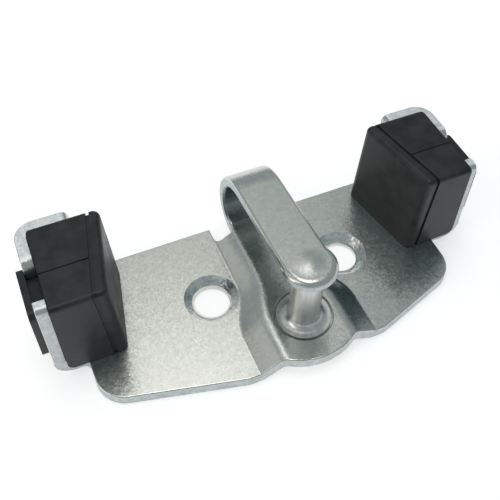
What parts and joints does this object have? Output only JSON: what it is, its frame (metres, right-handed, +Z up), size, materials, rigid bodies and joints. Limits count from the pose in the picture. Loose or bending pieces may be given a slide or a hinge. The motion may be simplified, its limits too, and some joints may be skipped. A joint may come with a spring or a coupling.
{
  "type": "trunk latch striker plate",
  "caption": "Zinc-plated steel striker plate for a trunk latch: hook strap over a riveted pin, countersunk screw holes and black rubber centring buffers.",
  "frame": {"origin": "midway between the two screw holes' axes, on the plate's flat mounting face", "axes": "+X along the row of screw holes to the right-hand buffer, +Y from the round front lobe to the hook's bend, +Z up out of the mounting face"},
  "size_m": [0.1194, 0.0549, 0.029],
  "materials": {
    "zinc_plate": "zinc plated, frosted",
    "pin_steel": "turned and zinc plated",
    "rubber": "moulded, satin black"
  },
  "bodies": {
    "root": {"striker_plate": "zinc_plate", "striker_pin": "pin_steel", "buffer_left": "rubber", "buffer_right": "rubber"}
  },
  "joints": []
}
